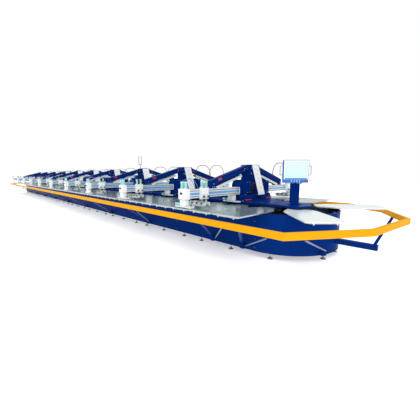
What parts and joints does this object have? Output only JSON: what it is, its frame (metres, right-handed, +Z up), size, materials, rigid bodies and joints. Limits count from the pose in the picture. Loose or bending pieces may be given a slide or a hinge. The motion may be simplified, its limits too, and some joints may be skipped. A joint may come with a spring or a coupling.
{
  "type": "screen printing carousel",
  "caption": "Long oval automatic screen printing carousel: rows of pallets circling a deck of print towers with cantilevered squeegee arms, inside a yellow guard rail.",
  "frame": {"origin": "on the floor at the middle of the machine's bounding box", "axes": "+X along the machine towards the end with the operator panel, -Y the front long side, +Z up"},
  "size_m": [27.05, 4.06, 2.14],
  "materials": {
    "blue_paint": "gloss powder coat, deep blue",
    "dark_paint": "satin dark paint",
    "white_paint": "gloss white paint",
    "pale_paint": "satin pale grey paint",
    "panel_blue": "gloss mid blue with a pale front",
    "yellow_paint": "gloss safety yellow",
    "arm_aluminium": "anodised extrusion",
    "pallet_aluminium": "brushed plate, lightly soiled",
    "track_steel": "ground rail",
    "zinc_steel": "zinc plated",
    "light_blue": "smooth extruded strip",
    "clear_cyan": "clear tinted cylinder barrels",
    "display_glass": "pale lit screen",
    "red_plastic": "moulded red",
    "foot_rubber": "moulded foot",
    "black_hose": "ribbed air hose"
  },
  "bodies": {
    "base": {"air_hoses": "black_hose", "air_riser_fork": "zinc_steel", "arm_caps_front": "white_paint", "arm_caps_rear": "white_paint", "arm_stripes": "light_blue", "base_beams": "blue_paint", "base_crossmembers": "blue_paint", "base_rings": "blue_paint", "control_pillar": "blue_paint", "deck_columns": "dark_paint", "deck_plates": "blue_paint", "drive_gearbox": "dark_paint", "drive_motor": "dark_paint", "foot_pads": "foot_rubber", "foot_stems": "zinc_steel", "guard_rail_left": "yellow_paint", "guard_rail_right": "yellow_paint", "guard_rail_sides": "yellow_paint", "lift_cylinders": "clear_cyan", "print_arms_front": "arm_aluminium", "print_arms_rear": "arm_aluminium", "rail_braces": "zinc_steel", "rail_shoes": "blue_paint", "rail_struts": "blue_paint", "skirt_front": "blue_paint", "skirt_left_end": "blue_paint", "skirt_rear": "blue_paint", "skirt_right_end": "blue_paint", "tower_bases": "blue_paint", "tower_covers": "white_paint", "towers": "blue_paint", "track_curves": "track_steel", "track_posts": "blue_paint", "track_rails": "track_steel", "truss_beams": "blue_paint"},
    "pallets_front": {"pallets_front": "pallet_aluminium", "trolleys_front": "dark_paint"},
    "pallets_rear": {"pallets_rear": "pallet_aluminium", "trolleys_rear": "dark_paint"},
    "pallets_right": {"pallets_right": "pallet_aluminium", "trolleys_right": "dark_paint", "drive_wheel": "dark_paint"},
    "pallets_left": {"pallets_left": "pallet_aluminium", "trolleys_left": "dark_paint", "idler_wheel": "dark_paint"},
    "clamps_front": {"screen_clamps_front": "pale_paint"},
    "clamps_rear": {"screen_clamps_rear": "pale_paint"},
    "carriages_front": {"carriages_front": "white_paint", "stroke_cylinders_front": "clear_cyan"},
    "carriages_rear": {"carriages_rear": "white_paint", "stroke_cylinders_rear": "clear_cyan"},
    "squeegees_front": {"squeegees_front": "pale_paint"},
    "squeegees_rear": {"squeegees_rear": "pale_paint"},
    "flood_bars_front": {"flood_bars_front": "zinc_steel"},
    "flood_bars_rear": {"flood_bars_rear": "zinc_steel"},
    "operator_panel": {"control_box": "panel_blue", "control_display": "display_glass", "control_handles": "zinc_steel"},
    "stop_button": {"stop_button": "red_plastic"},
    "drive_pinion": {"drive_pinion": "zinc_steel"}
  },
  "joints": [
    {"name": "index_front", "type": "slide", "parent": "base", "child": "pallets_front", "axis": [1, 0, 0], "range_m": [-0.15, 0.15]},
    {"name": "index_rear", "type": "slide", "parent": "base", "child": "pallets_rear", "axis": [-1, 0, 0], "range_m": [-0.15, 0.15]},
    {"name": "index_right", "type": "hinge", "parent": "base", "child": "pallets_right", "pos_m": [11.505, 0, 0.8], "axis": [0, 0, 1], "range_deg": [-9.2, 9.2]},
    {"name": "index_left", "type": "hinge", "parent": "base", "child": "pallets_left", "pos_m": [-11.505, 0, 0.8], "axis": [0, 0, 1], "range_deg": [-9.2, 9.2]},
    {"name": "clamp_drop_front", "type": "slide", "parent": "base", "child": "clamps_front", "axis": [0, 0, -1], "range_m": [0, 0.03]},
    {"name": "clamp_drop_rear", "type": "slide", "parent": "base", "child": "clamps_rear", "axis": [0, 0, -1], "range_m": [0, 0.03]},
    {"name": "stroke_front", "type": "slide", "parent": "base", "child": "carriages_front", "axis": [0, 1, 0], "range_m": [-0.2, 0.72]},
    {"name": "stroke_rear", "type": "slide", "parent": "base", "child": "carriages_rear", "axis": [0, -1, 0], "range_m": [-0.2, 0.72]},
    {"name": "squeegee_front", "type": "slide", "parent": "carriages_front", "child": "squeegees_front", "axis": [0, 0, -1], "range_m": [0, 0.02]},
    {"name": "squeegee_rear", "type": "slide", "parent": "carriages_rear", "child": "squeegees_rear", "axis": [0, 0, -1], "range_m": [0, 0.02]},
    {"name": "flood_front", "type": "slide", "parent": "carriages_front", "child": "flood_bars_front", "axis": [0, 0, 1], "range_m": [0, 0.02]},
    {"name": "flood_rear", "type": "slide", "parent": "carriages_rear", "child": "flood_bars_rear", "axis": [0, 0, 1], "range_m": [0, 0.02]},
    {"name": "panel_swivel", "type": "hinge", "parent": "base", "child": "operator_panel", "pos_m": [11.835, -0.25, 1.322], "axis": [0, 0, 1], "range_deg": [-60, 60]},
    {"name": "pinion_turn", "type": "hinge", "parent": "base", "child": "drive_pinion", "pos_m": [11.125, 0, 0.67], "axis": [0, 0, 1], "range_deg": [-36, 36]},
    {"name": "stop_press", "type": "slide", "parent": "operator_panel", "child": "stop_button", "axis": [-0.7071, 0.7071, 0], "range_m": [0, 0.006], "stiffness_N_per_m": 800}
  ],
  "couplings": [
    {"joint": "index_rear", "follows": "index_front", "ratio": 1},
    {"joint": "index_right", "follows": "index_front", "rad_per_m": 1.065},
    {"joint": "index_left", "follows": "index_front", "rad_per_m": 1.065},
    {"joint": "pinion_turn", "follows": "index_front", "rad_per_m": -4.0441},
    {"joint": "flood_front", "follows": "squeegee_front", "ratio": 1},
    {"joint": "flood_rear", "follows": "squeegee_rear", "ratio": 1}
  ]
}
